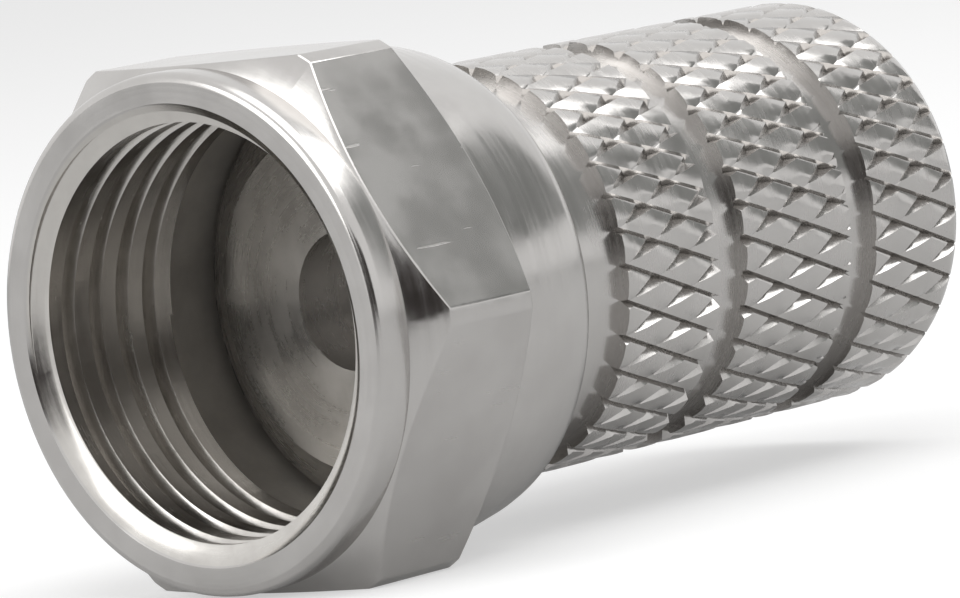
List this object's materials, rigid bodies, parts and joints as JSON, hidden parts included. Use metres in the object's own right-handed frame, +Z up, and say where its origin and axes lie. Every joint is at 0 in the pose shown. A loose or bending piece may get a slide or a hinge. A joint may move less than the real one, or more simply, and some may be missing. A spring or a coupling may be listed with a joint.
{
  "type": "f connector",
  "caption": "Twist-on coaxial plug with a freely turning hexagon coupling nut, a diamond-knurled sleeve with turned grooves, and a flanged bush.",
  "frame": {"origin": "middle of the flanged bush's front face, on the axis, the plane where the jack's end seats", "axes": "+X along the axis towards the cable's entry, +Z up, square to the flat of the nut that it lies on"},
  "size_m": [0.0198, 0.0124, 0.011],
  "materials": {
    "plated_nut": "nickel-plated brass, fine turned",
    "plated_sleeve": "nickel-plated brass, rolled knurl",
    "plated_bush": "nickel-plated brass, coarse turned face"
  },
  "bodies": {
    "sleeve": {"knurled_sleeve": "plated_sleeve", "flanged_bush": "plated_bush"},
    "nut": {"coupling_nut": "plated_nut"}
  },
  "joints": [
    {"name": "nut_spin", "type": "hinge", "parent": "sleeve", "child": "nut", "pos_m": [0, 0, 0], "axis": [1, 0, 0], "continuous": true}
  ]
}
